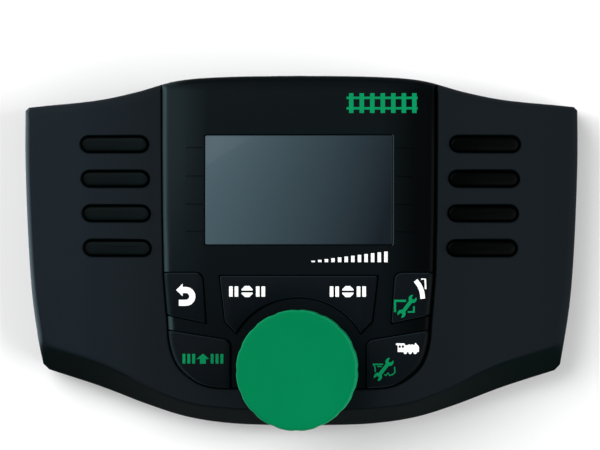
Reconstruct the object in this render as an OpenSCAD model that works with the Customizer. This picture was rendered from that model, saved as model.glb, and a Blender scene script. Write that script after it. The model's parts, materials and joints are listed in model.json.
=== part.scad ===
// Hand-held model railway controller, lying on its back with its face up.
// X runs across the wings, Y towards the cable edge, Z out of the face.
// The origin is under the middle of the whole controller, on the surface that it lies on.

/* [Housing] */
// Half of the width across the wings
half_w = 80; // [79.5:0.1:81]
// Wall thickness of both shells
wall = 2.2; // [2:0.1:2.4]
// Height of the flat back above the surface, which is what the feet stand out
foot_gap = 0.8; // [0.6:0.1:1]
// Height of the joint between the two shells
part_z = 9; // [8.8:0.1:9.2]
// Height of the face at the wing tips
tip_z = 16; // [15.8:0.1:17]
// Height of the face beside the fascia
seam_z = 24; // [23.8:0.1:24.2]
// Rise of the face from the seams to the middle
crown = 0.8; // [0.6:0.1:1]

/* [Fascia] */
// How far the fascia stands above the shell beside it
fascia_lift = 0.3; // [0.2:0.05:0.5]
// Width of the seam round the fascia
seam_gap = 0.4; // [0.3:0.05:0.5]
// Height of the ledge that the fascia sits on
ledge_z = 21.3; // [21.2:0.05:21.4]

/* [Display] */
// Width of the window
window_w = 54; // [52:0.5:55]
// Height of the window, along Y
window_h = 31.4; // [30:0.2:32]
// Middle of the window, along Y
window_y = 18; // [17.8:0.1:18.2]
// Thickness of the window
window_t = 1.5; // [1.2:0.1:1.6]

/* [Keys] */
// Length of the slot of a function key
pill_l = 20.2; // [19.5:0.1:20.6]
// Width of the slot of a function key
pill_w = 5; // [4.8:0.1:5.4]
// Gap between a key and its opening
key_gap = 0.35; // [0.3:0.05:0.4]
// How far the function keys stand out of the wings
pill_proud = 1; // [0.9:0.05:1.2]
// How far the fascia keys stand out of the fascia
key_proud = 0.7; // [0.6:0.05:0.9]

/* [Knob] */
// Outer radius of the knob
knob_r = 17.3; // [17:0.1:17.5]
// Height of the knob
knob_h = 11.4; // [10:0.2:12]
// Middle of the knob, along Y
knob_y = -33.6; // [-33.8:0.1:-33.4]
// Number of finger notches round the knob
notches = 16; // [12:1:20]
// Depth of a finger notch
notch_depth = 0.35; // [0.3:0.05:0.5]

/* [Hidden] */
$fn = 64;
left = -1;
right = 1;
rows = [1:4];
far = 80;
half_h = 50.9;

// Corners of the housing's right half, from the middle of the chin round to the middle of the top edge
chin_points = [[0, -50.2], [18, -49.8], [32, -48], [44, -44.4], [58.5, -38.9], [73.4, -34.1]];
side_points = [[75, -32.4], [77.7, -15.6], [79.1, 2], [half_w, 25], [half_w, 41]];
top_points = [[79, 42], [73, 42.6], [58.5, 44], [47, 46.3], [35, 49.5], [21, 50.6], [0, 50.9]];
// Corners of the fascia's right half, and the height of its ledge's top bar
panel_points = [[18, -39], [25.6, -38.5], [30.6, -36.5], [35, -32.4], [37.2, -26.3], [37.9, -18.5], [39, -5]];
panel_top_x = 39.6;
seat_top_y = 50.5;

// Openings of the fascia keys on the right; the left ones are their mirror images
key_round = 2.4;
upper_inner_x = 27.3;
upper_top_y = -5.5;
lower_inner_x = 19.3;
lower_top_y = -25;
beyond_x = 42;
ring_r = 20.4;

// Screw positions and other places on the right half
case_screw_spots = [[70, 33], [68, -25], [26, 46]];
board_screw_spots = [[44.5, 39], [47, -28]];
fascia_screw_spots = [[34.5, 43.5], [34.5, -0.9]];
foot_spots = [[60, 31], [60, -24]];
leg_spots_upper = [33, -12];
leg_spots_lower = [29, -30];
leg_spots_stop = [15.5, -11.5];

// The stack, from the back upwards
floor_z = foot_gap + 2;
board_z = 7.4;
board_top = 9;
mat_top = 9.8;
dome_top = 12;
flange_z = 13.6;
flange_top = 15;
fascia_flange_z = 19.4;
fascia_flange_top = 20.9;
window_z = 23;
gland_z = 8.6;
knob_z = 26.6;
shaft_r = 3;
leg_r = 2;
skirt = 0.8;

case_pilot_r = 1.32;
board_pilot_r = 1.02;
fascia_pilot_r = 0.92;

// Lengthwise middle of each function key row, and how far out each key sits
function pill_x(row) = 53.8 - 0.3 * row;
function pill_y(row) = 41.15 - 9.98 * row;

function unit(v) = v / norm(v);
function turned(v) = [-v.y, v.x];
function mirrored(points) = [for (i = [len(points) - 1:-1:0]) [-points[i].x, points[i].y]];
function arc(centre, r, from, to) = [for (i = [0:6]) let (a = from + (to - from) * i / 6)
    [centre.x + r * cos(a), centre.y + r * sin(a)]];

// A smooth curve through points (Catmull-Rom)
function blend(a, b, c, d, t) = 0.5 * (2 * b + (c - a) * t + (2 * a - 5 * b + 4 * c - d) * t * t
    + (3 * b - a - 3 * c + d) * t * t * t);
function curve(p, steps) = let (last = len(p) - 1) concat(
    [for (i = [0:last - 1]) for (s = [0:steps - 1])
        blend(p[max(i - 1, 0)], p[i], p[i + 1], p[min(i + 2, last)], s / steps)],
    [p[last]]);

// The housing's outline drawn in by gap
function shrunk(gap) = [for (p = housing) [p.x * (1 - gap / half_w), p.y * (1 - gap / half_h)]];

// An outline moved inwards by gap, or outwards where gap is negative
function inset(points, gap) = let (n = len(points)) [for (i = [0:n - 1])
    let (
        before = turned(unit(points[i] - points[(i + n - 1) % n])),
        after = turned(unit(points[(i + 1) % n] - points[i]))
    ) points[i] + gap * (before + after) / (1 + before * after)];

chin_curve = curve(chin_points, 4);
housing_half = concat(chin_curve, curve(side_points, 3), curve(top_points, 4));
housing_left = mirrored(housing_half);
housing = concat(housing_half, [for (i = [1:len(housing_left) - 2]) housing_left[i]]);
panel_half = concat(curve(panel_points, 3), [[39.3, 10]]);
panel = concat(panel_half, [[panel_top_x, 60], [-panel_top_x, 60]], mirrored(panel_half));
seat = concat(panel_half, [[panel_top_x, seat_top_y], [-panel_top_x, seat_top_y]], mirrored(panel_half));

upper_key = concat([[26.4, -20.7], [beyond_x, -17.4], [beyond_x, upper_top_y]],
    arc([upper_inner_x + key_round, upper_top_y - key_round], key_round, 90, 180));
lower_key = concat([[lower_inner_x, -42], [beyond_x, -42], [beyond_x, -21.4]],
    arc([lower_inner_x + key_round, lower_top_y - key_round + 0.3], key_round, 98, 180));
stop_key_points = [[-23.1, -6.4], [-21.5, -20], [-17.9, -23.7], [17.9, -23.7], [21.5, -20], [23.1, -6.4]];

board_half = [[0, -43.5], [34, -42.5], [56, -33], [64, -26], [64, 36], [60, 39.5], [52, 41.4]];
board = concat(board_half, [for (p = mirrored(board_half)) if (p.x < 0) p]);

// Height of the shell's face: a low crown between the seams, then a soft S down to the wing tips
function face_z(x) = abs(x) <= 40
    ? seam_z + crown * (1 - pow(x / 40, 2))
    : tip_z + (seam_z - tip_z) * (0.5 + 0.5 * cos(180 * min((abs(x) - 40) / 38, 1)));
function face_section(lift) = concat([[-half_w - 4, 0]],
    [for (x = [-half_w - 4:4:half_w + 4]) [x, face_z(x) + lift]], [[half_w + 4, 0]]);

// The bevel under the chin starts 1 mm over the joint and leans back more towards the wing tips
bevel_z = part_z + 1;
function bevel_lean(x) = 0.32 + 0.72 * pow(max(abs(x) - 28, 0) / 42, 2);

module on_side(side) {
    if (side < 0) mirror([1, 0, 0]) children();
    else children();
}

module both_sides() {
    for (side = [left, right]) on_side(side) children();
}

module plate(points, low, high) {
    translate([0, 0, low]) linear_extrude(high - low) polygon(points);
}

module rod(spot, r, low, high) {
    translate([spot.x, spot.y, low]) cylinder(r = r, h = high - low);
}

module block(low, high) {
    translate(low) cube(high - low);
}

// All that lies under the face, with the face raised by lift
module under_face(lift) {
    rotate([90, 0, 0]) linear_extrude(2 * far, center = true) polygon(face_section(lift));
}

// All that lies outside the bevel, which is moved inwards by gap
module outside_bevel(gap) {
    stations = [-85:5:85];
    rise = 30;
    sink = 3;
    points = [for (x = stations) let (y = lookup(abs(x), chin_curve) + gap) each [
        [x, y - sink * bevel_lean(x), bevel_z - sink], [x, y + rise * bevel_lean(x), bevel_z + rise],
        [x, -far, bevel_z + rise], [x, -far, bevel_z - sink]]];
    count = len(points) / 4;
    walls = [for (i = [0:count - 2]) for (k = [0:3]) let (a = 4 * i + k, b = 4 * i + (k + 1) % 4)
        each [[a, a + 4, b + 4], [a, b + 4, b]]];
    end = 4 * (count - 1);
    polyhedron(points, concat(walls, [[0, 1, 2, 3], [end + 3, end + 2, end + 1, end]]));
}

// The front half of the housing as a solid, shrunk by gap
module front_form(gap) {
    difference() {
        intersection() {
            plate(shrunk(gap), gap > 0 ? part_z - 1 : part_z, 40);
            under_face(-gap);
        }
        outside_bevel(gap);
    }
}

module pill(length, width, low, high) {
    reach = (length - width) / 2;
    translate([0, 0, low]) linear_extrude(high - low) union() {
        square([2 * reach, width], center = true);
        for (end = [-reach, reach]) translate([end, 0]) circle(d = width);
    }
}

module screw(spot, seat_z, head_r, head_h, shank_r, shank_l) {
    slot_w = 0.35 * head_r;
    slot_l = 1.2 * head_r;
    difference() {
        union() {
            rod(spot, head_r, seat_z - head_h, seat_z);
            rod(spot, shank_r, seat_z, seat_z + shank_l);
        }
        for (a = [0, 90]) translate([spot.x, spot.y, seat_z - head_h]) rotate([0, 0, a])
            cube([slot_l, slot_w, head_h], center = true);
    }
}

module front_shell() {
    color([0.12, 0.14, 0.16]) difference() {
        union() {
            difference() {
                front_form(0);
                front_form(wall);
            }
            intersection() {
                front_form(0);
                union() {
                    difference() {
                        plate(inset(seat, -2.5), ledge_z - 2, ledge_z + 2);
                        plate(inset(seat, 3), ledge_z - 3, ledge_z + 3);
                    }
                    both_sides() {
                        for (spot = case_screw_spots) rod(spot, 3.4, part_z, 40);
                        for (spot = board_screw_spots) rod(spot, 2.6, part_z, 40);
                        for (spot = fascia_screw_spots) rod(spot, 3.1, ledge_z - 2, ledge_z);
                    }
                }
            }
        }
        plate(inset(panel, -seam_gap), ledge_z, 40);
        both_sides() {
            intersection() {
                plate(inset(panel, -seam_gap), fascia_flange_z - 2, ledge_z + 1);
                union() {
                    plate(inset(upper_key, -1.4), fascia_flange_z - 2, ledge_z + 1);
                    plate(inset(lower_key, -1.4), fascia_flange_z - 2, ledge_z + 1);
                }
            }
            for (row = rows) translate([pill_x(row), pill_y(row), 0]) pill(pill_l, pill_w, part_z, 40);
            for (spot = case_screw_spots) rod(spot, case_pilot_r, part_z - 1, 13.8);
            for (spot = board_screw_spots) rod(spot, board_pilot_r, part_z - 1, 15.4);
            for (spot = fascia_screw_spots) rod(spot, 1.1, ledge_z - 3, ledge_z + 1);
        }
        rod([0, knob_y], 4.4, part_z, ledge_z + 1);
        gland_notch();
    }
}

module gland_notch() {
    translate([0, 55, gland_z]) rotate([90, 0, 0]) cylinder(r = 4, h = 10);
}

module rear_shell() {
    edge_h = 3.2;
    edge_in = 2.6;
    widen = [1 / (1 - edge_in / half_w), 1 / (1 - edge_in / half_h)];
    color([0.11, 0.13, 0.15]) difference() {
        union() {
            difference() {
                union() {
                    translate([0, 0, foot_gap])
                        linear_extrude(edge_h, scale = widen, slices = 1, $fn = 3) polygon(shrunk(edge_in));
                    plate(housing, foot_gap + edge_h, part_z);
                }
                plate(shrunk(wall), floor_z, part_z + 1);
            }
            difference() {
                union() {
                    plate(shrunk(wall - 0.2), part_z - 2.5, part_z - 0.1);
                    plate(shrunk(wall + 0.15), part_z - 0.1, part_z + 0.9);
                }
                plate(shrunk(wall + 1.3), part_z - 3, part_z + 1);
                both_sides() for (spot = case_screw_spots) rod(spot, 3.8, part_z - 0.1, part_z + 1);
            }
            both_sides() for (spot = case_screw_spots) rod(spot, 3.6, floor_z - 0.5, part_z - 0.2);
        }
        both_sides() {
            for (spot = case_screw_spots) {
                rod(spot, 1.6, 0, part_z);
                rod(spot, 2.7, 0, 4.2);
            }
            for (spot = foot_spots) rod(spot, 4.6, 0, 2 * foot_gap);
        }
        gland_notch();
        block([-6, 46, gland_z - 5.6], [6, 48.6, part_z + 1]);
    }
}

module centre_fascia() {
    window_edge = 0.15;
    sight = 2;
    color([0.04, 0.05, 0.06]) difference() {
        intersection() {
            plate(panel, ledge_z, 40);
            plate(housing, ledge_z - 1, 40);
            under_face(fascia_lift);
        }
        translate([0, window_y, 0]) {
            block([-window_w / 2 - window_edge, -window_h / 2 - window_edge, window_z],
                [window_w / 2 + window_edge, window_h / 2 + window_edge, 40]);
            block([sight - window_w / 2, sight - window_h / 2, ledge_z - 1],
                [window_w / 2 - sight, window_h / 2 - sight, 40]);
        }
        both_sides() {
            plate(upper_key, ledge_z - 1, 40);
            plate(lower_key, ledge_z - 1, 40);
            for (spot = fascia_screw_spots) rod(spot, fascia_pilot_r, ledge_z - 1, 23.1);
        }
        difference() {
            plate(stop_key_points, ledge_z - 1, 40);
            rod([0, knob_y], ring_r, 0, 50);
        }
        rod([0, knob_y], 4.2, ledge_z - 1, 40);
    }
}

module display_window() {
    color([0.3, 0.36, 0.42, 0.6]) translate([0, window_y, 0])
        block([-window_w / 2, -window_h / 2, window_z], [window_w / 2, window_h / 2, window_z + window_t]);
}

module display_panel() {
    color([0.35, 0.4, 0.42]) translate([0, window_y, 0]) block([-28.3, -17.3, 18.7], [28.3, 17.3, 20.9]);
}

module display_backlight() {
    color([0.9, 0.9, 0.88]) translate([0, window_y, 0]) block([-28.3, -17.3, 16.5], [28.3, 17.3, 18.6]);
}

module display_frame() {
    color([0.8, 0.8, 0.78]) translate([0, window_y, 0]) difference() {
        block([-30, -19, board_top], [30, 19, 21]);
        block([-28.4, -17.4, 16.4], [28.4, 17.4, 22]);
        block([-28, -17, board_top - 1], [28, 17, 15.2]);
        block([-9.5, -20, 19.2], [9.5, -16, 22]);
    }
}

module display_ribbon() {
    drop_y = window_y - 20.2;
    sheet = 0.2;
    color([0.75, 0.5, 0.15]) rotate([90, 0, 90]) linear_extrude(18, center = true) polygon([
        [window_y - 17.3, 19.6], [window_y - 17.3, 19.6 + sheet], [drop_y, 19.6 + sheet],
        [drop_y, board_top], [drop_y + sheet, board_top], [drop_y + sheet, 19.6]]);
}

module main_board() {
    color([0.05, 0.3, 0.15]) difference() {
        plate(board, board_z, board_top);
        both_sides() for (spot = board_screw_spots) rod(spot, 1.2, board_z - 1, board_top + 1);
    }
}

module main_chip() {
    color([0.08, 0.08, 0.08]) block([-7, 4, board_z - 1.6], [7, 18, board_z]);
}

module driver_chips() {
    color([0.08, 0.08, 0.08]) both_sides() block([20, 6, board_z - 1.5], [25, 11, board_z]);
}

module capacitors() {
    color([0.6, 0.6, 0.62]) for (x = [-12, 0, 12]) rod([x, 30], 2.5, board_z - 3.4, board_z);
}

module cable_header() {
    color([0.9, 0.88, 0.8]) difference() {
        block([-7, window_y + 19.4, board_top], [7, 41.2, 14.5]);
        block([-6, window_y + 20.4, board_top + 1], [6, 43, 13.5]);
    }
}

module cable_gland() {
    color([0.07, 0.07, 0.07]) translate([0, 50.6, gland_z]) rotate([90, 0, 0]) difference() {
        union() {
            cylinder(r = 3.9, h = 4);
            translate([0, 0, 2.3]) cylinder(r = 5.2, h = 1.7);
        }
        translate([0, 0, -1]) cylinder(r = 2.6, h = 6);
    }
}

module dome(spot, r) {
    translate([spot.x, spot.y, mat_top - 0.2]) cylinder(r1 = r, r2 = r - 1, h = dome_top - mat_top + 0.2);
}

module wing_mat() {
    union() {
        block([43, -3.2, board_top], [63.8, 35.6, mat_top]);
        for (row = rows) dome([pill_x(row), pill_y(row)], 3.4);
    }
}

module keymat_left() {
    color([0.55, 0.56, 0.56]) on_side(left) wing_mat();
}

module keymat_right() {
    color([0.55, 0.56, 0.56]) wing_mat();
}

module keymat_centre() {
    color([0.55, 0.56, 0.56]) both_sides() {
        block([24, -34, board_top], [38, -6, mat_top]);
        block([-1, -16, board_top], [24.5, -6, mat_top]);
        for (spot = [leg_spots_upper, leg_spots_lower, leg_spots_stop]) dome(spot, 3.6);
    }
}

module function_key(side, row) {
    color([0.03, 0.035, 0.04]) on_side(side) union() {
        intersection() {
            translate([pill_x(row), pill_y(row), 0])
                pill(pill_l - 2 * key_gap, pill_w - 2 * key_gap, flange_z, 40);
            under_face(pill_proud);
        }
        translate([pill_x(row), pill_y(row), 0]) pill(pill_l + skirt, pill_w + skirt, flange_z, flange_top);
        rod([pill_x(row), pill_y(row)], leg_r, dome_top, flange_z + 0.5);
    }
}

// A fascia key: its cap inside the opening, a flange that holds it in, and one leg
module fascia_key(opening, leg) {
    union() {
        intersection() {
            plate(inset(opening, key_gap), fascia_flange_z, 40);
            plate(panel, fascia_flange_z, 40);
            under_face(fascia_lift + key_proud);
        }
        intersection() {
            plate(inset(opening, -skirt), fascia_flange_z, fascia_flange_top);
            plate(panel, fascia_flange_z, fascia_flange_top);
        }
        rod(leg, leg_r, dome_top, fascia_flange_z + 0.5);
    }
}

module back_key() {
    color([0.13, 0.15, 0.17]) on_side(left) fascia_key(upper_key, leg_spots_upper);
}

module turnout_key() {
    color([0.13, 0.15, 0.17]) fascia_key(upper_key, leg_spots_upper);
}

module shift_key() {
    color([0.13, 0.15, 0.17]) on_side(left) fascia_key(lower_key, leg_spots_lower);
}

module loco_key() {
    color([0.13, 0.15, 0.17]) fascia_key(lower_key, leg_spots_lower);
}

module stop_key() {
    color([0.13, 0.15, 0.17]) union() {
        difference() {
            intersection() {
                plate(inset(stop_key_points, key_gap), fascia_flange_z, 40);
                under_face(fascia_lift + key_proud);
            }
            rod([0, knob_y], ring_r + key_gap, 0, 50);
        }
        difference() {
            plate(inset(stop_key_points, -skirt), fascia_flange_z, fascia_flange_top);
            rod([0, knob_y], ring_r - skirt, 0, 50);
        }
        both_sides() rod(leg_spots_stop, leg_r, dome_top, fascia_flange_z + 0.5);
    }
}

module encoder_housing() {
    color([0.2, 0.2, 0.2]) translate([0, knob_y, 0]) difference() {
        block([-6.2, -6.2, board_top], [6.2, 6.2, 15.5]);
        rod([0, 0], 5.2, board_top + 0.6, 14.4);
        rod([0, 0], 3.6, 14, 16);
    }
}

module encoder_bushing() {
    color([0.7, 0.7, 0.72]) translate([0, knob_y, 0]) difference() {
        rod([0, 0], 3.5, 14.5, 24.8);
        rod([0, 0], shaft_r + 0.05, 14, 25);
    }
}

module detent_wheel() {
    color([0.85, 0.85, 0.8]) translate([0, knob_y, 0]) difference() {
        rod([0, 0], 4.8, 12.6, 14.1);
        rod([0, 0], shaft_r + 0.05, 12, 15);
        for (i = [0:notches - 1]) rotate([0, 0, i * 360 / notches]) rod([5, 0], 0.5, 12, 15);
    }
}

module detent_spring() {
    color([0.75, 0.76, 0.78]) translate([0, knob_y, 0]) difference() {
        rod([0, 0], 5.1, 11.8, 12.1);
        rod([0, 0], 3.6, 11, 13);
    }
}

module push_dome() {
    color([0.75, 0.76, 0.78]) translate([0, knob_y, 0]) rotate_extrude() polygon([
        [0, 10.2], [2, 9.6], [2.6, 9.6], [2.6, 9.8], [2.1, 9.8], [0, 10.4]]);
}

module encoder_plunger() {
    color([0.9, 0.9, 0.88]) translate([0, knob_y, 0]) rod([0, 0], 2.8, 10.5, 11.4);
}

module encoder_shaft() {
    color([0.75, 0.76, 0.78]) translate([0, knob_y, 0]) difference() {
        rod([0, 0], shaft_r, 11.45, 35.2);
        block([-4, 1.5, knob_z + 0.8], [4, 4, 36]);
    }
}

module knob() {
    top = knob_z + knob_h;
    skin = 1.8;
    notch_r = 3;
    color([0, 0.52, 0.32]) translate([0, knob_y, 0]) difference() {
        rotate_extrude($fn = 128) polygon([
            [0, knob_z + 1], [5.5, knob_z + 1], [5.5, top - skin], [knob_r - skin, top - skin],
            [knob_r - skin, knob_z], [knob_r, knob_z], [knob_r, top - 1], [knob_r - 0.3, top - 0.3],
            [knob_r - 1, top], [0, top]]);
        rod([0, 0], shaft_r + 0.05, knob_z - 1, 35.6);
        for (i = [0:notches - 1]) rotate([0, 0, i * 360 / notches + 90])
            rod([knob_r + notch_r - notch_depth, 0], notch_r, knob_z - 1, top + 1);
    }
}

module knob_clip() {
    color([0.75, 0.76, 0.78]) translate([0, knob_y, 0]) block([-2, 1.55, 28], [2, 2.2, 34]);
}

module case_screws() {
    color([0.5, 0.5, 0.52]) both_sides() for (spot = case_screw_spots) screw(spot, 4.2, 2.4, 1.8, 1.3, 9.2);
}

module board_screws() {
    color([0.5, 0.5, 0.52]) both_sides() for (spot = board_screw_spots) screw(spot, board_z, 2, 1.5, 1, 7.6);
}

module fascia_screws() {
    color([0.5, 0.5, 0.52]) both_sides()
        for (spot = fascia_screw_spots) screw(spot, ledge_z - 2, 1.9, 1.4, 0.9, 3.6);
}

module rubber_feet() {
    color([0.06, 0.06, 0.06]) both_sides() for (spot = foot_spots) rod(spot, 4.5, 0, 2 * foot_gap);
}

front_shell();
rear_shell();
centre_fascia();
display_window();
display_panel();
display_backlight();
display_frame();
display_ribbon();
main_board();
main_chip();
driver_chips();
capacitors();
cable_header();
cable_gland();
keymat_left();
keymat_right();
keymat_centre();
for (row = rows) {
    function_key(left, row);
    function_key(right, row);
}
back_key();
shift_key();
stop_key();
turnout_key();
loco_key();
encoder_housing();
encoder_bushing();
detent_wheel();
detent_spring();
encoder_plunger();
push_dome();
encoder_shaft();
knob();
knob_clip();
case_screws();
board_screws();
fascia_screws();
rubber_feet();
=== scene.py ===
import json
import math
import bpy
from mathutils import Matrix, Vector


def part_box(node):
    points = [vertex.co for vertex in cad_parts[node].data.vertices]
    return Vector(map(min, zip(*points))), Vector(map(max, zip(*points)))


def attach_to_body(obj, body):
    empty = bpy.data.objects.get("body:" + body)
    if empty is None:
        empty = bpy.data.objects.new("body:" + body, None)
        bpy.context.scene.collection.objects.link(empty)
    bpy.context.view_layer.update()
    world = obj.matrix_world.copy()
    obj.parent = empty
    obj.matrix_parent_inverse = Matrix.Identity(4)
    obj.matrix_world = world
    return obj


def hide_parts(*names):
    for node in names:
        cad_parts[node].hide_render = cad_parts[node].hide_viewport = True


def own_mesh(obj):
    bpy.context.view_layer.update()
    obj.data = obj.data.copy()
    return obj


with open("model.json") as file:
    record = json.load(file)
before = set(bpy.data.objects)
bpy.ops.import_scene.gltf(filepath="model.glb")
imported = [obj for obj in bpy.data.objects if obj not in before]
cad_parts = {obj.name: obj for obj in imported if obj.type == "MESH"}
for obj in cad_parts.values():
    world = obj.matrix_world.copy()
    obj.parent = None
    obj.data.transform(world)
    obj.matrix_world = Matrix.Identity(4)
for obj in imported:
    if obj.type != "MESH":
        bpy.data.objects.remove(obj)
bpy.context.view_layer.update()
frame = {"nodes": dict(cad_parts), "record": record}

mm = 0.001
left, right = -1, 1
slotOf = {part["node"]: part["material_slot"] for part in frame["record"]["subparts"]}
print("frame loaded")

# The controller's own shape in mm, as its design has it
face = {"tipZ": 16.0, "seamZ": 24.0, "crown": 0.8, "seamX": 40.0, "fall": 38.0, "halfW": 80.0, "halfH": 50.9,
        "jointZ": 9.0, "bevelZ": 10.0, "ledgeZ": 21.3, "fasciaZ": 24.3, "keyZ": 25.0, "panelX": 39.6,
        "ledgeY": 45.2, "wellR": 20.4}
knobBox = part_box("knob")
knobY = (knobBox[0][1] + knobBox[1][1]) / 2 / mm

chinCorners = [(0, -50.2), (18, -49.8), (32, -48), (44, -44.4), (58.5, -38.9), (73.4, -34.1)]
sideCorners = [(75, -32.4), (77.7, -15.6), (79.1, 2), (80, 25), (80, 41)]
topCorners = [(79, 42), (73, 42.6), (58.5, 44), (47, 46.3), (35, 49.5), (21, 50.6), (0, 50.9)]
panelCorners = [(18, -39), (25.6, -38.5), (30.6, -36.5), (35, -32.4), (37.2, -26.3), (37.9, -18.5), (39, -5)]


def faceHeight(x):  # a low crown between the seams, then a soft S down to the wing tips
    x = abs(x)
    if x <= face["seamX"]:
        return face["seamZ"] + face["crown"] * (1 - (x / face["seamX"]) ** 2)
    turn = math.pi * min((x - face["seamX"]) / face["fall"], 1)
    return face["tipZ"] + (face["seamZ"] - face["tipZ"]) * (0.5 + 0.5 * math.cos(turn))


def bevelLean(x):  # how far the chin's bevel leans back for each mm that it rises
    return 0.32 + 0.72 * (max(abs(x) - 28, 0) / 42) ** 2


def smooth(corners, steps):  # a Catmull-Rom curve through the corners
    out = []
    for i in range(len(corners) - 1):
        a, b, c, d = (Vector(corners[min(max(i + k, 0), len(corners) - 1)]) for k in (-1, 0, 1, 2))
        for t in [s / steps for s in range(steps)]:
            out.append(tuple(0.5 * (2 * b + (c - a) * t + (2 * a - 5 * b + 4 * c - d) * t * t
                                    + (3 * b - a - 3 * c + d) * t * t * t)))
    return out + [tuple(corners[-1])]


def mirrored(points):
    return [(-x, y) for x, y in reversed(points)]


def readOff(curve, x):  # the height of a curve at an x, where its x only grows
    pairs = sorted(curve)
    for (a, low), (b, high) in zip(pairs, pairs[1:]):
        if x <= b:
            return low + (high - low) * (max(x, a) - a) / max(b - a, 0.000001)
    return pairs[-1][1]


def insetBy(points, gaps):  # each point of an outline moved inwards by its own gap
    out = []
    for i, point in enumerate(points):
        before = (Vector(point) - Vector(points[i - 1])).normalized()
        after = (Vector(points[(i + 1) % len(points)]) - Vector(point)).normalized()
        a, b = Vector((-before.y, before.x)), Vector((-after.y, after.x))
        out.append(tuple(Vector(point) + (a + b) * gaps[i] / (1 + a.dot(b))))
    return out


def inset(points, gap):
    return insetBy(points, [gap] * len(points))


def arc(centre, r, start, end, count=9):
    angles = [math.radians(start + (end - start) * i / (count - 1)) for i in range(count)]
    return [(centre[0] + r * math.cos(a), centre[1] + r * math.sin(a)) for a in angles]


def circle(centre, r, count=48):
    return arc(centre, r, 0, 360, count + 1)[:-1]


def rectangle(low, high, r=0.0):
    if not r:
        return [low, (high[0], low[1]), high, (low[0], high[1])]
    middles = [(high[0] - r, low[1] + r), (high[0] - r, high[1] - r),
               (low[0] + r, high[1] - r), (low[0] + r, low[1] + r)]
    return [p for i, m in enumerate(middles) for p in arc(m, r, 90 * i - 90, 90 * i, 6)]


def flipped(points, side):
    return mirrored(points) if side < 0 else points


chinCurve, sideCurve, topCurve = smooth(chinCorners, 7), smooth(sideCorners, 6), smooth(topCorners, 6)
halfOutline = chinCurve + sideCurve + topCurve
outline = halfOutline + mirrored(halfOutline)[1:-1]
panelSide = smooth(panelCorners, 5) + [(39.3, 10), (39.45, 30)]
fasciaTop = [(x, y) for x, y in topCurve if x < 39]
fasciaHalf = panelSide + [(face["panelX"], readOff(topCurve, face["panelX"]))] + fasciaTop
fasciaOutline = fasciaHalf + mirrored(fasciaHalf)[1:]
seatHalf = panelSide + [(face["panelX"], 60)]
seatOutline = seatHalf + mirrored(seatHalf)
ledgeHalf = panelSide + [(face["panelX"], face["ledgeY"])]
ledgeOutline = ledgeHalf + mirrored(ledgeHalf)


def shrunk(gap):  # the housing's outline drawn in by gap
    return [(x * (1 - gap / face["halfW"]), y * (1 - gap / face["halfH"])) for x, y in outline]


# Ways of making
def alone(piece):
    bpy.ops.object.select_all(action="DESELECT")
    bpy.context.view_layer.objects.active = piece
    piece.select_set(True)


def editAll(piece):
    alone(piece)
    bpy.ops.object.mode_set(mode="EDIT")
    bpy.ops.mesh.select_all(action="SELECT")


def outward(piece):
    editAll(piece)
    bpy.ops.mesh.remove_doubles(threshold=0.000001)
    bpy.ops.mesh.normals_make_consistent(inside=False)
    bpy.ops.object.mode_set(mode="OBJECT")


def stack(name, loops):  # a filled outline pulled up from loop to loop: each is its points and its height
    count = len(loops[0][0])
    bpy.ops.object.select_all(action="DESELECT")
    bpy.ops.mesh.primitive_circle_add(vertices=count, radius=0.01, fill_type="NGON")
    piece = bpy.context.object
    piece.name = name
    mesh = piece.data
    rim = list(range(count))
    for step, (points, height) in enumerate(loops):
        if step:
            spots = {tuple(mesh.vertices[v].co): i for i, v in enumerate(rim)}
            bpy.ops.object.mode_set(mode="EDIT")
            bpy.ops.mesh.extrude_region_move(TRANSFORM_OT_translate={"value": (0, 0, 0)})
            bpy.ops.object.mode_set(mode="OBJECT")
            for vertex in mesh.vertices:
                if vertex.select:
                    rim[spots[tuple(vertex.co)]] = vertex.index
        for i, v in enumerate(rim):
            z = height[i] if isinstance(height, list) else height
            mesh.vertices[v].co = (points[i][0] * mm, points[i][1] * mm, z * mm)
    outward(piece)
    return piece


def block(name, points, low, high):  # one outline pulled straight up
    return stack(name, [(points, low), (points, high)])


def softened(points, widths, top, steps=4):  # loops that round the upper edge of an outline
    turns = [math.pi / 2 * k / steps for k in range(steps + 1)]
    return [(insetBy(points, [w * (1 - math.cos(a)) for w in widths]),
             [top - w * (1 - math.sin(a)) for w in widths])
            for a in turns]


def overFace(points, lift):
    return [faceHeight(x) + lift for x, y in points]


def joined(name, pieces):
    alone(pieces[0])
    for piece in pieces:
        piece.select_set(True)
    bpy.ops.object.join()
    bpy.context.object.name = name
    return bpy.context.object


def copied(name, piece, move=(0, 0, 0), flip=False):
    alone(piece)
    bpy.ops.object.duplicate()
    twin = bpy.context.object
    twin.name = name
    editAll(twin)
    bpy.ops.transform.translate(value=[value * mm for value in move])
    if flip:
        bpy.ops.transform.resize(value=(-1, 1, 1), center_override=(0, 0, 0))
        bpy.ops.mesh.normals_make_consistent(inside=False)
    bpy.ops.object.mode_set(mode="OBJECT")
    return twin


def carve(piece, cutter, operation="DIFFERENCE"):
    alone(piece)
    cut = piece.modifiers.new("cut", "BOOLEAN")
    cut.operation, cut.object, cut.solver = operation, cutter, "EXACT"
    bpy.ops.object.modifier_apply(modifier=cut.name)
    bpy.data.objects.remove(cutter)


def roundEdges(piece, width, segments=3, angle=50):
    alone(piece)
    edge = piece.modifiers.new("edge", "BEVEL")
    edge.width, edge.segments = width * mm, segments
    edge.limit_method, edge.angle_limit = "ANGLE", math.radians(angle)
    bpy.ops.object.modifier_apply(modifier=edge.name)


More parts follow.
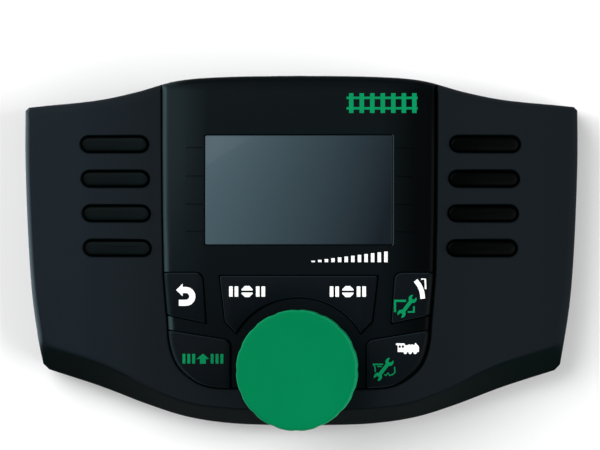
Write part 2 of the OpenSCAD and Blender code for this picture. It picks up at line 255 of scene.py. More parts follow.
def sliceAcross(piece, low, high, step):
    for k in range(int((high - low) / step) + 1):
        editAll(piece)
        bpy.ops.mesh.bisect(plane_co=((low + k * step) * mm, 0, 0), plane_no=(1, 0, 0))
        bpy.ops.object.mode_set(mode="OBJECT")


def drape(piece, low=-38, high=38, step=2.0, above=22.5):  # bends what is above over the fascia's crown
    sliceAcross(piece, low, high, step)
    for vertex in piece.data.vertices:
        if vertex.co.z > above * mm:
            vertex.co.z += (faceHeight(vertex.co.x / mm) - face["seamZ"]) * mm


def smoothed(piece, angle=35):
    alone(piece)
    bpy.ops.object.shade_smooth_by_angle(angle=math.radians(angle))


# Finishes
def tone(r, g, b):
    levels = [((c / 255 + 0.055) / 1.055) ** 2.4 if c > 10 else c / 255 / 12.92 for c in (r, g, b)]
    return tuple(round(level, 4) for level in levels) + (1,)


class Link:  # a shader socket that adds and multiplies as a number does
    def __init__(self, tree, socket=None):
        self.tree, self.socket = tree, socket

    def node(self, kind, settings=None, sockets=None, output=0):
        made = self.tree.nodes.new(kind)
        for name, value in (settings or {}).items():
            if name == "stops":
                for stop, (place, colour) in zip(made.color_ramp.elements, value):
                    stop.position, stop.color = place, colour
            else:
                setattr(made, name, value)
        for name, value in (sockets or {}).items():
            if isinstance(value, Link):
                self.tree.links.new(value.socket, made.inputs[name])
            else:
                made.inputs[name].default_value = value
        return Link(self.tree, made.outputs[output])

    def math(self, operation, first, second):
        return self.node("ShaderNodeMath", {"operation": operation}, {0: first, 1: second})

    def __add__(self, other):
        return self.math("ADD", self, other)

    def __sub__(self, other):
        return self.math("SUBTRACT", self, other)

    def __rsub__(self, other):
        return self.math("SUBTRACT", other, self)

    def __mul__(self, other):
        return self.math("MULTIPLY", self, other)

    def __gt__(self, other):
        return self.math("GREATER_THAN", self, other)

    __radd__, __rmul__ = __add__, __mul__

    def limited(self, low, high):
        return self.node("ShaderNodeMapRange", {"clamp": True}, {0: self, 1: low, 2: high, 3: 0.0, 4: 1.0})

    def colours(self, first, second):  # mixes two colours by this mask
        return self.node("ShaderNodeMix", {"data_type": "RGBA"}, {0: self, 6: first, 7: second}, 2)

    def noise(self, scale, detail=2.0, roughness=0.5):
        return self.node("ShaderNodeTexNoise", None, {"Vector": self, "Scale": scale, "Detail": detail,
                                                      "Roughness": roughness})

    def bumps(self, strength, depth):  # this height as a normal
        return self.node("ShaderNodeBump", None, {"Strength": strength, "Distance": depth, "Height": self})

    def along(self, axis):
        return self.node("ShaderNodeSeparateXYZ", None, {0: self}, "XYZ".index(axis))

    def wave(self, scale, distortion, direction):
        return self.node("ShaderNodeTexWave", {"bands_direction": direction},
                         {"Vector": self, "Scale": scale, "Distortion": distortion, "Detail": 2.0})


def startFinish(name):
    material = bpy.data.materials.new(name)
    material.use_nodes = True
    tree = material.node_tree
    shader = tree.nodes["Principled BSDF"]
    place = Link(tree).node("ShaderNodeTexCoord", None, None, 3)
    return material, shader, place


def attach(shader, name, value):
    if isinstance(value, Link):
        value.tree.links.new(value.socket, shader.inputs[name])
    else:
        shader.inputs[name].default_value = value


def moulded(name, look):  # any moulded or printed plastic, rubber or lacquer, with painted light and shade where a look asks for it
    material, shader, place = startFinish(name)
    cloud = place.noise(look.get("cloud", 30), 3)
    grain = place.noise(look.get("grain", 2500), 2, 0.6)
    tint = cloud.limited(0.3, 0.7).colours(look["deep"], look["pale"])
    for axis, low, high, colour in look.get("paintedLightAndShadeByPlace", ()):  # painted light and shade: slow changes across the piece by place
        tint = place.along(axis).limited(low, high).colours(tint, colour)
    plain, facing = tint, Link(place.tree).node("ShaderNodeTexCoord", None, None, 1)
    for axis, low, high, colour, beyond in look.get("paintedLightAndShadeBySlope", ()):  # painted highlights and painted shade where the surface turns away, past an x
        mask = facing.along(axis).limited(low, high) * (beyond - place.along("X")).limited(0, 0.004)
        tint = mask.colours(tint, colour)
    if look.get("wallsWithoutPaintedSlopeLight"):  # upright walls and undersides keep the colour without the painted slope highlights and shade
        tint = facing.along("Z").limited(0.02, 0.2).colours(plain, tint)
    attach(shader, "Base Color", tint)
    rough = cloud * look.get("vary", 0.08) + grain * look.get("speck", 0.06) + look["rough"]
    if "matt" in look:  # the underside of a bevel is left as moulded
        rough = rough + facing.along("Y").limited(-0.25, -0.6) * look["matt"]
    attach(shader, "Roughness", rough)
    attach(shader, "Normal", grain.bumps(look.get("bump", 0.15), 0.0001))
    shader.inputs["Specular IOR Level"].default_value = look.get("shine", 0.5)
    shader.inputs["Coat Weight"].default_value = look.get("coat", 0.0)
    shader.inputs["Coat Roughness"].default_value = 0.1
    return material


def tintedWindow(look):  # smoked acrylic over an unlit display, with a painted reflection that is paler towards the upper left
    material, shader, place = startFinish("smokedWindow")
    reflectionSlant = place.along("X") * look["slantX"] + place.along("Y") * look["slantY"] + look["start"]
    paintedReflection = place.node("ShaderNodeValToRGB", {"stops": look["stops"]}, {0: reflectionSlant})
    smear = place.noise(60, 4, 0.6)
    attach(shader, "Base Color", paintedReflection)
    attach(shader, "Roughness", smear * 0.12 + look["rough"])
    shader.inputs["Specular IOR Level"].default_value = look["shine"]
    shader.inputs["Coat Weight"].default_value = 0.08
    shader.inputs["Coat Roughness"].default_value = 0.04
    return material


def circuitBoard(look):
    material, shader, place = startFinish("circuitBoard")
    wide, fine = place.wave(90, 2.5, "X"), place.wave(140, 1.8, "Y")
    track = (wide > 0.72) * (place.noise(45, 1) > 0.48) + (fine > 0.8) * (place.noise(38, 1) > 0.55)
    dots = place.node("ShaderNodeTexVoronoi", None, {"Vector": place, "Scale": 260.0})
    pad = (0.16 - dots).limited(0, 0.03) * (place.noise(55, 1) > 0.56)
    tint = track.limited(0, 1).colours(look["mask"], look["track"])
    attach(shader, "Base Color", pad.colours(tint, look["pad"]))
    attach(shader, "Roughness", place.noise(120, 2) * 0.1 + 0.25)
    attach(shader, "Metallic", pad * 0.8)
    attach(shader, "Normal", track.bumps(0.3, 0.00005))
    return material


def zincSteel(look):
    material, shader, place = startFinish("zincSteel")
    spangle = place.noise(700, 3, 0.6)
    attach(shader, "Base Color", spangle.colours(look["deep"], look["pale"]))
    attach(shader, "Roughness", spangle * 0.2 + look["rough"])
    attach(shader, "Metallic", 1.0)
    attach(shader, "Normal", spangle.bumps(0.1, 0.00005))
    return material


finishes = {
    "housing": moulded("charcoalHousing", {
        "deep": tone(19, 27, 33), "pale": tone(23, 31, 37), "rough": 0.58, "cloud": 18, "grain": 2600,
        "bump": 0.25, "shine": 0.05, "vary": 0.06, "speck": 0.12, "matt": 0.5, "wallsWithoutPaintedSlopeLight": True,
        # painted light and shade: the outer left wing paler, the housing right of it darker
        "paintedLightAndShadeByPlace": [("X", -0.064, -0.043, tone(15, 22, 26))],
        # painted shade on left-facing slopes, painted highlight on the outer left edge, painted shade on the
        # chin's bevel
        "paintedLightAndShadeBySlope": [("X", -0.3, -0.7, tone(2, 5, 6), 0.1), ("X", -0.4, -0.85, tone(80, 94, 102), -0.06),
                   ("Y", -0.25, -0.6, tone(4, 13, 13), 0.1)]}),
    "fascia": moulded("blackFascia", {
        "deep": tone(22, 32, 35), "pale": tone(25, 35, 38), "rough": 0.4, "cloud": 22, "grain": 3200,
        "bump": 0.1, "shine": 0.03,
        # painted shade on right-facing slopes, painted highlight on left-facing slopes
        "paintedLightAndShadeBySlope": [("X", 0.08, 0.35, tone(0, 1, 2), 0.1), ("X", -0.1, -0.5, tone(52, 68, 73), 0.1)],
        # painted shade: darker right of the left strip, towards the bottom, along the right side and along
        # the top band
        "paintedLightAndShadeByPlace": [("X", -0.036, -0.026, tone(9, 16, 18)), ("Y", 0.03, -0.02, tone(5, 11, 14)),
                   ("X", 0.024, 0.034, tone(0, 2, 3)), ("Y", 0.0465, 0.049, tone(3, 8, 10))]}),
    "fascia_key": moulded("darkKeys", {
        "deep": tone(3, 9, 14), "pale": tone(5, 12, 17), "rough": 0.42, "cloud": 60, "grain": 3000,
        "bump": 0.12, "shine": 0.05,
        # painted highlight on the rounded rims, painted shade on right-facing slopes
        "paintedLightAndShadeBySlope": [("Z", 0.97, 0.7, tone(28, 40, 44), 0.1), ("X", 0.12, 0.4, tone(0, 2, 3), 0.1)]}),
    "function_key": moulded("glossKeys", {
        "deep": tone(6, 14, 15), "pale": tone(9, 17, 18), "rough": 0.34, "cloud": 90, "grain": 1800,
        # painted shade: the right wing's keys darker, and the caps' rounded edges painted black
        "bump": 0.04, "shine": 0.02, "paintedLightAndShadeByPlace": [("X", -0.03, 0.03, tone(0, 1, 1))],
        "paintedLightAndShadeBySlope": [("Z", 0.98, 0.8, tone(0, 0, 0), 0.1)]}),
    "knob": moulded("greenKnob", {
        "deep": tone(0, 116, 71), "pale": tone(0, 121, 75), "rough": 0.5, "cloud": 40, "grain": 2600,
        # painted highlight on the rounded rim
        "bump": 0.12, "shine": 0.02, "paintedLightAndShadeBySlope": [("Z", 0.9, 0.6, tone(20, 138, 92), 0.1)]}),
    # painted reflection: a slant from dark to pale towards the upper left
    "window": tintedWindow({"slantX": -18.6, "slantY": 4.5, "start": 0.424, "rough": 0.2, "shine": 0.08,
                            "stops": [(0.0, tone(20, 28, 34)), (1.0, tone(66, 84, 92))]}),
    "lcd": moulded("unlitDisplay", {"deep": tone(76, 86, 92), "pale": tone(84, 95, 101), "rough": 0.2,
                                    "cloud": 40}),
    "silicone": moulded("greySilicone", {"deep": tone(140, 143, 143), "pale": tone(150, 152, 152),
                                         "rough": 0.65, "cloud": 60, "grain": 900, "shine": 0.3}),
    "black_rubber": moulded("blackRubber", {"deep": tone(22, 22, 23), "pale": tone(30, 30, 31), "rough": 0.75,
                                            "cloud": 80, "grain": 1800, "bump": 0.4, "shine": 0.2}),
    "white_plastic": moulded("naturalPlastic", {"deep": tone(214, 213, 206), "pale": tone(226, 225, 219),
                                                "rough": 0.4, "cloud": 70, "grain": 1600}),
    "ribbon": moulded("amberFilm", {"deep": tone(170, 104, 28), "pale": tone(188, 122, 40), "rough": 0.25,
                                    "cloud": 50, "coat": 0.3}),
    "chip": moulded("mouldedChip", {"deep": tone(20, 20, 21), "pale": tone(30, 30, 31), "rough": 0.6,
                                    "cloud": 150, "grain": 2200, "bump": 0.5}),
    "board": circuitBoard({"mask": tone(16, 74, 44), "track": tone(26, 98, 58), "pad": tone(196, 176, 120)}),
    "steel": zincSteel({"deep": tone(150, 152, 154), "pale": tone(205, 206, 207), "rough": 0.28}),
    "whiteInk": moulded("whiteInk", {"deep": tone(243, 245, 245), "pale": tone(255, 255, 255), "rough": 0.5,
                                     "cloud": 200, "grain": 3000, "bump": 0.08}),
    "greenInk": moulded("greenInk", {"deep": tone(0, 130, 80), "pale": tone(0, 138, 86), "rough": 0.5,
                                     "cloud": 200, "grain": 3000, "bump": 0.08, "shine": 0.05}),
}
print("finishes made")


def settle(piece, body, slot, finish=None, angle=35):
    smoothed(piece, angle)
    piece.data.materials.clear()
    piece.data.materials.append(finishes[finish or slot])
    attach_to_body(piece, body)


# Front shell
shell = {"wall": 2.2, "round": 2.6, "blend": 0.9, "rings": 19, "rim": 0.35, "groove": 0.22, "seamGap": 0.4,
         "ledgeOut": 2.4, "ledgeDeep": 2.0, "ledgeUp": 1.1, "ledgeWide": 3.0, "pocketGap": 1.4,
         "pocket": (17.4, 22.3), "turnY": -10, "turnSlope": 0.737, "tipX": 60, "tipOver": 13.4,
         "tipPull": 0.0245, "fadeY": -32.4, "fadeOver": 10, "inner": (0.5, 0.62, 0.74, 0.86),
         "roll": (0, 0.05, 0.14, 0.28, 0.46, 0.66, 0.82, 0.92, 1.0, 1.08, 1.2)}


def softMin(a, b, blend):
    near = max(blend - abs(a - b), 0) / blend
    return min(a, b) - near * near * blend / 4


def shellHeight(x, y):
    bevel = face["bevelZ"] + (y - readOff(chinCurve, abs(x))) / bevelLean(x)
    return softMin(faceHeight(x), bevel, shell["blend"])


def creaseSpot(x, y, part):  # where the face begins, inside a point of the outline
    if part == "chin":
        pull = shell["tipPull"] * max(x - shell["tipX"], 0) / shell["tipOver"]
        return x * (1 - pull), y + (faceHeight(x) - face["bevelZ"]) * bevelLean(x)
    drawnIn = x * (1 - shell["round"] / face["halfW"])
    if part == "side" and y < shell["turnY"]:
        return drawnIn, shell["turnY"] + (y - shell["turnY"]) * shell["turnSlope"]
    return drawnIn, y * (1 - shell["round"] / face["halfH"] * (y > 0))


def rollFade(y, part):  # how much of the rolled edge is left: none on the chin, all at the top
    if part == "side":
        return min(max((y - shell["fadeY"]) / shell["fadeOver"], 0), 1)
    return 0 if part == "chin" else 1


def between(points, others, share):
    return [(a + (c - a) * share, b + (d - b) * share) for (a, b), (c, d) in zip(points, others)]


def scaled(points, share):
    return [(x * share, y * share) for x, y in points]


def shellLoops():
    parts = ["chin"] * len(chinCurve) + ["side"] * len(sideCurve) + ["top"] * len(topCurve)
    creaseHalf = [creaseSpot(x, y, part) for (x, y), part in zip(halfOutline, parts)]
    fadeHalf = [rollFade(y, part) for (x, y), part in zip(halfOutline, parts)]
    creases = creaseHalf + mirrored(creaseHalf)[1:-1]
    fades = fadeHalf + fadeHalf[::-1][1:-1]
    # the inside, from the middle out to the wall, then the joint with its fine groove
    loops = [(scaled(creases, share), overFace(scaled(creases, share), -shell["wall"]))
             for share in shell["inner"]]
    loops.append((scaled(creases, 0.965), [shellHeight(x, y) - shell["wall"] - 0.2 for x, y in creases]))
    low = face["jointZ"] + shell["groove"]
    loops += [(shrunk(shell["wall"]), face["jointZ"]), (shrunk(shell["groove"]), face["jointZ"]),
              (outline, low)]
    # the outside: the wall rolls over to the crease, but stays sharp along the chin
    r = shell["round"]
    for share in shell["roll"]:
        points = between(outline, creases, share)
        drop = r - math.sqrt(max(r * r - (r * max(1 - share, 0)) ** 2, 0))
        heights = [max(shellHeight(x, y) - drop * fade, low + 0.1 + share)
                   for (x, y), fade in zip(points, fades)]
        loops.append((points, heights))
    # the face, from the crease in to the middle
    edge = between(outline, creases, shell["roll"][-1])
    for k in range(1, shell["rings"] + 1):
        points = scaled(edge, 1 - 0.5 * k / shell["rings"])
        loops.append((points, [shellHeight(x, y) for x, y in points]))
    return loops


pill = {"length": 20.2, "width": 5.0, "x": 53.8, "stepX": -0.3, "y": 41.15, "stepY": -9.98, "gap": 0.35,
        "flange": 0.4, "flangeZ": 13.6, "flangeTop": 15.0, "legR": 2.0, "legZ": 12.0}


def pillLoop(grow, reach=None, count=12):  # the outline of row 1 on the right, grown all round
    r = pill["width"] / 2 + grow
    x, y = pill["x"] + pill["stepX"], pill["y"] + pill["stepY"]
    reach = (pill["length"] - pill["width"]) / 2 if reach is None else reach
    middle = [(x - reach + 2 * reach * k / 8, y - r) for k in range(1, 8)]
    return (arc((x - reach, y), r, 90, 270, count) + middle + arc((x + reach, y), r, -90, 90, count)
            + [(px, 2 * y - py) for px, py in reversed(middle)])


def pillMove(row):
    shift = pill["stepX"] * (row - 1)
    start = pill["x"] + pill["stepX"]
    return shift, pill["stepY"] * (row - 1), faceHeight(start + shift) - faceHeight(start)


def eightPills(first):  # the four rows on both wings, from the first one on the right
    rows = [copied("pillCopy", first, pillMove(row)) for row in (1, 2, 3, 4)]
    both = rows + [copied("pillCopy", piece, flip=True) for piece in rows]
    bpy.data.objects.remove(first)
    return both


upperOpening = [(26.4, -20.7), (42, -17.4), (42, -5.5)] + arc((29.7, -7.9), 2.4, 90, 180, 8)
lowerOpening = [(19.3, -42), (42, -42), (42, -21.4)] + arc((21.7, -27.1), 2.4, 98, 180, 8)
stopHalf = [(0, -23.7), (17.9, -23.7), (21.5, -20), (23.1, -6.4)]
stopOpening = stopHalf + mirrored(stopHalf)[:-1]
case = {"screws": [(70, 33), (68, -25), (26, 46)], "feet": [(60, 31), (60, -24)], "glandR": 4.0,
        "glandY": 50.0, "glandZ": 8.6}


def glandNotch():  # the round seat of the cable gland, through the top edge
    bar = block("glandNotch", circle((0, 0), case["glandR"]), -6, 6)
    editAll(bar)
    bpy.ops.transform.rotate(value=math.pi / 2, orient_axis="X", center_override=(0, 0, 0))
    bpy.ops.transform.translate(value=(0, case["glandY"] * mm, case["glandZ"] * mm))
    bpy.ops.object.mode_set(mode="OBJECT")
    return bar


def makeFrontShell():
    body = stack("frontShell", shellLoops())
    low, high = face["ledgeZ"] - shell["ledgeDeep"], face["ledgeZ"] + shell["ledgeUp"]
    carve(body, block("ledge", inset(ledgeOutline, -shell["ledgeOut"]), low, high), "UNION")
    seam, mouth = inset(seatOutline, -shell["seamGap"]), inset(seatOutline, -shell["seamGap"] - shell["rim"])
    carve(body, stack("recess", [(seam, face["ledgeZ"]), (seam, overFace(seam, -shell["rim"])),
                                 (mouth, overFace(mouth, 0.03)), (mouth, 32)]))
    carve(body, block("opening", inset(ledgeOutline, shell["ledgeWide"]), 14, 30))
    for side in (left, right):
        for opening in (upperOpening, lowerOpening):
            pocket = block("pocket", flipped(inset(opening, -shell["pocketGap"]), side), *shell["pocket"])
            carve(pocket, block("limit", seam, 15, 25), "INTERSECT")
            carve(body, pocket)
    tight, flare = pillLoop(0), pillLoop(shell["rim"])
    slot = stack("slot", [(tight, pill["legZ"]), (tight, overFace(tight, -shell["rim"])),
                          (flare, overFace(flare, 0.02)), (flare, overFace(flare, 2))])
    carve(body, joined("slots", eightPills(slot)))
    carve(body, glandNotch())
    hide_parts("front_shell")
    settle(body, "housing", "housing", angle=30)


makeFrontShell()
print("front shell made")


# Rear shell
back = {"inset": 2.6, "footGap": 0.8, "edgeH": 3.4, "floorZ": 2.8, "bore": 2.7, "boreZ": 4.2, "boss": 3.6,
        "bossZ": (2.3, 8.8), "shank": 1.6, "shankZ": (3.9, 10.0), "footR": 4.6, "footZ": 1.6}


def makeRearShell():
    turns = [math.pi / 2 * k / 6 for k in range(7)]
    lower = [(shrunk(back["inset"] * (1 - math.cos(a))), back["footGap"] + back["edgeH"] * (1 - math.sin(a)))
             for a in turns]
    inside = shrunk(shell["wall"])
    body = stack("rearShell", [(inside, back["floorZ"]), (inside, face["jointZ"]),
                               (shrunk(shell["groove"]), face["jointZ"]),
                               (outline, face["jointZ"] - shell["groove"])] + lower)
    spots = [(x * side, y) for x, y in case["screws"] for side in (left, right)]
    for spot in spots:
        carve(body, block("boss", circle(spot, back["boss"]), *back["bossZ"]), "UNION")
    bores = [block("bore", circle(spot, back["bore"]), -1, back["boreZ"]) for spot in spots]
    shanks = [block("shank", circle(spot, back["shank"], 24), *back["shankZ"]) for spot in spots]
    seats = [block("seat", circle((x * side, y), back["footR"]), -1, back["footZ"])
             for x, y in case["feet"] for side in (left, right)]
    for cutter in bores + shanks + seats:
        carve(body, cutter)
    carve(body, glandNotch())
    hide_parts("rear_shell")
    settle(body, "housing", "housing", angle=30)


makeRearShell()
print("rear shell made")


# Fascia
fascia = {"edge": 0.45, "sideEdge": 1.7, "topEdge": 2.4, "rim": 0.25, "proud": 0.3, "window": (54.3, 31.7),
          "windowY": 18.0, "windowZ": 23.0, "corner": 0.5, "sight": (50.0, 27.4),
          "leaderY": [30.0, 21.8, 13.7, 5.9], "leaderX": {right: (27.6, 33.0), left: (27.6, 32.5)},
          "leaderDrop": {right: 0.35, left: 0.0}, "leaderW": 0.36, "leaderD": 0.35}


def rolledEdges():  # the panel's sides and top roll down further than its foot
    out = []
    for x, y in fasciaOutline:
        side = fascia["edge"] + (fascia["sideEdge"] - fascia["edge"]) * min(max((abs(x) - 27) / 8, 0), 1)
        out.append(side + (fascia["topEdge"] - side) * min(max((y - 46) / 3, 0), 1))
    return out


def knobWell(grow=0.0):  # the round space that the stop key leaves for the knob
    return block("knobWell", circle((0, knobY), face["wellR"] + grow, 96), 15, 35)


def windowShape(size, corner):
    half = [side / 2 for side in size]
    return rectangle((-half[0], fascia["windowY"] - half[1]), (half[0], fascia["windowY"] + half[1]), corner)


def makeFascia():
    edges = softened(fasciaOutline, rolledEdges(), face["fasciaZ"])
    body = stack("centreFascia", [(fasciaOutline, face["ledgeZ"])] + edges)
    for side in (left, right):
        for opening in (upperOpening, lowerOpening):
            carve(body, block("opening", flipped(opening, side), 20, 30))
    stop = block("stopOpening", stopOpening, 20, 30)
    carve(stop, knobWell())
    carve(body, stop)
    drape(body)
    seat = windowShape(fascia["window"], fascia["corner"])
    flare = inset(seat, -fascia["rim"])
    top = overFace(seat, fascia["proud"])
    carve(body, stack("windowSeat", [(seat, fascia["windowZ"]), (seat, [z - fascia["rim"] for z in top]),
                                     (flare, [z + 0.02 for z in top]), (flare, 30)]))
    carve(body, block("sight", windowShape(fascia["sight"], fascia["corner"]), 20, 24))
    for side in (left, right):
        for y in fascia["leaderY"]:
            start, end = fascia["leaderX"][side]
            low, wide = y - fascia["leaderDrop"][side], fascia["leaderW"]
            shape = flipped([(start, y), (end, low), (end, low + wide), (start, y + wide)], side)
            carve(body, block("leader", shape, overFace(shape, fascia["proud"] - fascia["leaderD"]), 30))
    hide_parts("centre_fascia")
    settle(body, "housing", "fascia", angle=25)


makeFascia()
print("fascia made")


# Display window
window = {"size": (54.0, 31.4), "low": 23.0, "high": 24.5, "edge": 0.25, "corner": 0.4}


def makeWindow():
    shape = windowShape(window["size"], window["corner"])
    edges = softened(shape, [window["edge"]] * len(shape), window["high"], 3)
    piece = stack("displayWindow", [(shape, window["low"])] + edges)
    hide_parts("display_window")
    settle(piece, "housing", "window")


makeWindow()
print("display window made")


# Function keys
def makeFunctionKeys():
    tight, wide = pillLoop(-pill["gap"]), pillLoop(pill["flange"])
    leg, neck = pillLoop(pill["legR"] - pill["width"] / 2, 0.15), pillLoop(-0.4, 6.8)
    loops = [(leg, pill["legZ"]), (leg, pill["flangeZ"]), (neck, pill["flangeZ"]), (wide, pill["flangeZ"]),
             (wide, pill["flangeTop"]), (tight, pill["flangeTop"])]
    for grow, lift in ((0, 0.35), (-0.06, 0.6), (-0.22, 0.8), (-0.55, 0.93), (-1.0, 0.98), (-1.6, 1.0)):
        points = pillLoop(-pill["gap"] + grow)
        loops.append((points, overFace(points, lift)))
    keys = eightPills(stack("functionKey", loops))
    names = ["%s_%d" % (side, row) for side in ("right", "left") for row in (1, 2, 3, 4)]
    for piece, name in zip(keys, names):
        piece.name = "functionKey_" + name
        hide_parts("function_key_" + name)
        settle(piece, "function_key_" + name, "function_key")


makeFunctionKeys()
print("function keys made")


# Fascia keys
cap = {"low": 19.4, "flangeTop": 20.9, "bite": 0.3, "gap": 0.35, "skirt": 0.8, "edge": 0.42, "legZ": 12.0,
       "legTop": 19.9, "legR": 2.0}


def makeFasciaKey(name, node, opening, legs, ringed=False):
    top, flange = inset(opening, cap["gap"]), inset(opening, -cap["skirt"])
    pieces = [block(name, top, cap["flangeTop"] - cap["bite"], face["keyZ"]),
              block("flange", flange, cap["low"], cap["flangeTop"])]
    rolled = softened(fasciaOutline, rolledEdges(), face["keyZ"] + 0.001)
    for piece, grow in zip(pieces, (cap["gap"], -cap["skirt"])):
        if ringed:
            carve(piece, knobWell(grow))
        else:
            carve(piece, stack("limit", [(fasciaOutline, 15)] + rolled), "INTERSECT")
    roundEdges(pieces[0], cap["edge"])
    drape(pieces[0])
    for spot in legs:
        pieces.append(block("leg", circle(spot, cap["legR"], 24), cap["legZ"], cap["legTop"]))
    key = joined(name, pieces)
    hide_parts(node)
    settle(key, node, "fascia_key", angle=28)


makeFasciaKey("backKey", "back_key", flipped(upperOpening, left), [(-33, -12)])
makeFasciaKey("turnoutKey", "turnout_key", upperOpening, [(33, -12)])
makeFasciaKey("shiftKey", "shift_key", flipped(lowerOpening, left), [(-29, -30)])
makeFasciaKey("locoKey", "loco_key", lowerOpening, [(29, -30)])
makeFasciaKey("stopKey", "stop_key", stopOpening, [(-15.5, -11.5), (15.5, -11.5)], ringed=True)
print("fascia keys made")


# Knob
knob = {"r": 17.3, "low": 26.6, "high": 38.0, "notches": 16, "depth": 0.2, "skin": 1.8, "hub": 5.5,
        "bore": 3.4, "edge": 0.9, "foot": 0.15, "points": 192}


def knobLoop(r, depth):
    out = []
    for k in range(knob["points"]):
        a = 2 * math.pi * k / knob["points"]
        near = abs(((a / (2 * math.pi) * knob["notches"] - 0.25 * knob["notches"]) + 0.5) % 1 - 0.5) * 2
        dip = depth * (0.5 + 0.5 * math.cos(math.pi * min(near / 0.5, 1)))
        out.append(((r - dip) * math.cos(a), knobY + (r - dip) * math.sin(a)))
    return out


def makeKnob():
    inside = knob["high"] - knob["skin"]
    hub, hollow = knobLoop(knob["hub"], 0), knobLoop(knob["r"] - knob["skin"], 0)
    loops = [(knobLoop(knob["bore"], 0), knob["low"] + 1), (hub, knob["low"] + 1), (hub, inside),
             (hollow, inside), (hollow, knob["low"]),
             (knobLoop(knob["r"] - knob["foot"], knob["depth"]), knob["low"]),
             (knobLoop(knob["r"], knob["depth"]), knob["low"] + 0.2)]
    for k in range(7):
        a = math.pi / 2 * k / 6
        r = knob["r"] - knob["edge"] * (1 - math.cos(a))
        loops.append((knobLoop(r, knob["depth"] * (1 - 0.9 * k / 6)),
                      knob["high"] - knob["edge"] * (1 - math.sin(a))))
    loops.append((knobLoop(knob["r"] - 2.2, 0), knob["high"]))
    piece = stack("knobCap", loops)
    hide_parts("knob")
    settle(piece, "knob", "knob", angle=40)


makeKnob()
print("knob made")

# Printed marks: plain signs in place of words
ink = {"sink": 0.08, "rise": 0.04, "layer": 0.004, "step": 1.0}


def band(line, width):  # the outline of a stroke along a line
    lefts, rights = [], []
    for i, spot in enumerate(line):
        way = (Vector(line[min(i + 1, len(line) - 1)]) - Vector(line[max(i - 1, 0)])).normalized()
        across = Vector((-way.y, way.x)) * width / 2
        lefts.append(tuple(Vector(spot) + across))
        rights.append(tuple(Vector(spot) - across))
    return rights + lefts[::-1]


def shifted(points, x, y):
    return [(px + x, py + y) for px, py in points]


def printed(name, body, colour, top, shapes, holes=()):  # thin ink on a key's or the fascia's crowned top
    layers = [block(name, points, top - ink["sink"], top + ink["rise"] + ink["layer"] * i)
              for i, points in enumerate(shapes)]
    for points in holes:
        carve(layers[0], block("hole", points, top - 1, top + 1))
    piece = joined(name, layers)
    spread = [x for points in shapes for x, y in points]
    drape(piece, min(spread) + 0.3, max(spread) - 0.2, ink["step"])
    settle(piece, body, "knob" if colour == "greenInk" else "white_plastic", colour, 25)


def jaw(centre, turn, r=1.17, gap=0.46):
    throat = (centre[0] + 0.35 * math.cos(math.radians(turn)),
              centre[1] + 0.35 * math.sin(math.radians(turn)))
    return arc(centre, r, turn + 30, turn + 330, 20) + arc(throat, gap, turn + 270, turn + 90, 7)


def wrench(low, high):
    way = (Vector(high) - Vector(low)).normalized()
    turn = math.degrees(math.atan2(way.y, way.x))
    start, end = Vector(low) + way * 0.9, Vector(high) - way * 0.9
    return [band([tuple(start), tuple(end)], 1.05), jaw(low, turn + 180), jaw(high, turn)]


turnBack = [(-35.3, -10.77), (-33.4, -12.6), (-33.4, -11.65)] + arc((-32.45, -12.62), 0.97, 90, -90, 9) + [
    (-34.5, -13.59), (-34.5, -15.35)] + arc((-32.45, -12.62), 2.73, -90, 90, 15) + [
    (-33.4, -9.89), (-33.4, -8.95)]
octagon = arc((0, 0), 1.728, 22.5, 337.5, 8)
stopSign = [[p for p in octagon if p[1] > 0] + [(-1.6, 0.28), (1.6, 0.28)],
            [(1.6, -0.28), (-1.6, -0.28)] + [p for p in octagon if p[1] < 0]]
stopSign += [rectangle((x, -1.5), (x + 1.05, 1.5), 0.15) for x in (-5.2, -3.6, 2.55, 4.15)]
upArrow = [(-1.85, -0.1), (-0.85, -0.1), (-0.85, -1.45), (0.85, -1.45), (0.85, -0.1), (1.85, -0.1), (0, 1.5)]
shiftSign = [upArrow] + [rectangle((x, -1.4), (x + 0.85, 1.4), 0.12)
                         for x in (-5.9, -4.5, -3.1, 2.25, 3.65, 5.05)]
pointsSign = [band(smooth([(33.65, -8.0), (34.75, -9.5), (35.45, -11.3), (35.7, -13.25)], 5), 1.35),
              band([(35.25, -7.6), (36.4, -7.6), (36.52, -10.5)], 0.5)]
blockFrame = [band([(27.75, -17.1), (27.75, -14.1)], 0.6), band([(27.45, -13.85), (30.9, -13.85)], 0.65),
              band([(33.15, -15.4), (33.15, -17.25)], 0.5), band([(32.9, -17.05), (31.4, -17.05)], 0.45)]
engine = [(0, -0.4), (0, 0), (2.4, 0), (2.65, -0.5), (3.2, -0.6), (3.6, -0.35), (4.05, -0.35), (4.25, -0.5),
          (4.45, -0.35), (4.9, -0.35), (5.15, -0.55), (5.35, -0.5), (5.45, 0.05), (5.8, 0.05), (5.95, -0.3),
          (6.4, -0.7), (6.6, -1), (6.6, -2.3), (6.45, -2.5), (0.5, -2.5), (0.5, -0.65)]
engineAt = (28.0, -26.05)
engineSide = [shifted(engine, *engineAt)[::-1]]
engineSide += [circle((engineAt[0] + x, engineAt[1] - 2.6), 0.5, 16) for x in (2.7, 4.1, 5.5)]
cabWindows = [circle((engineAt[0] + x, engineAt[1] - 0.95), 0.36, 12) for x in (1.1, 2.0)]
engineLine = [band([(21.35, -32.1), (24.3, -32.1)], 0.4),
              band([(21.6, -32.2), (22.0, -32.9), (22.05, -34.3)], 0.35),
              band([(22.6, -32.7), (23.9, -32.7)], 0.3),
              band([(27.63, -32.8), (27.7, -34.5), (27.0, -35.0), (26.2, -35.3), (25.75, -34.5),
                    (25.15, -35.3), (24.7, -35.0)], 0.35)]
track = [rectangle((13.8, 41.1), (34.2, 41.8)), rectangle((13.8, 44.1), (34.2, 44.8))]
track += [rectangle((14.5 + 3.02 * k, 40.1), (15.8 + 3.02 * k, 45.8)) for k in range(7)]
speed = [rectangle((3.7 + 1.9 * k, -2.75), (4.7 + 1.9 * k, -2.35 + 0.24 * k)) for k in range(12)]

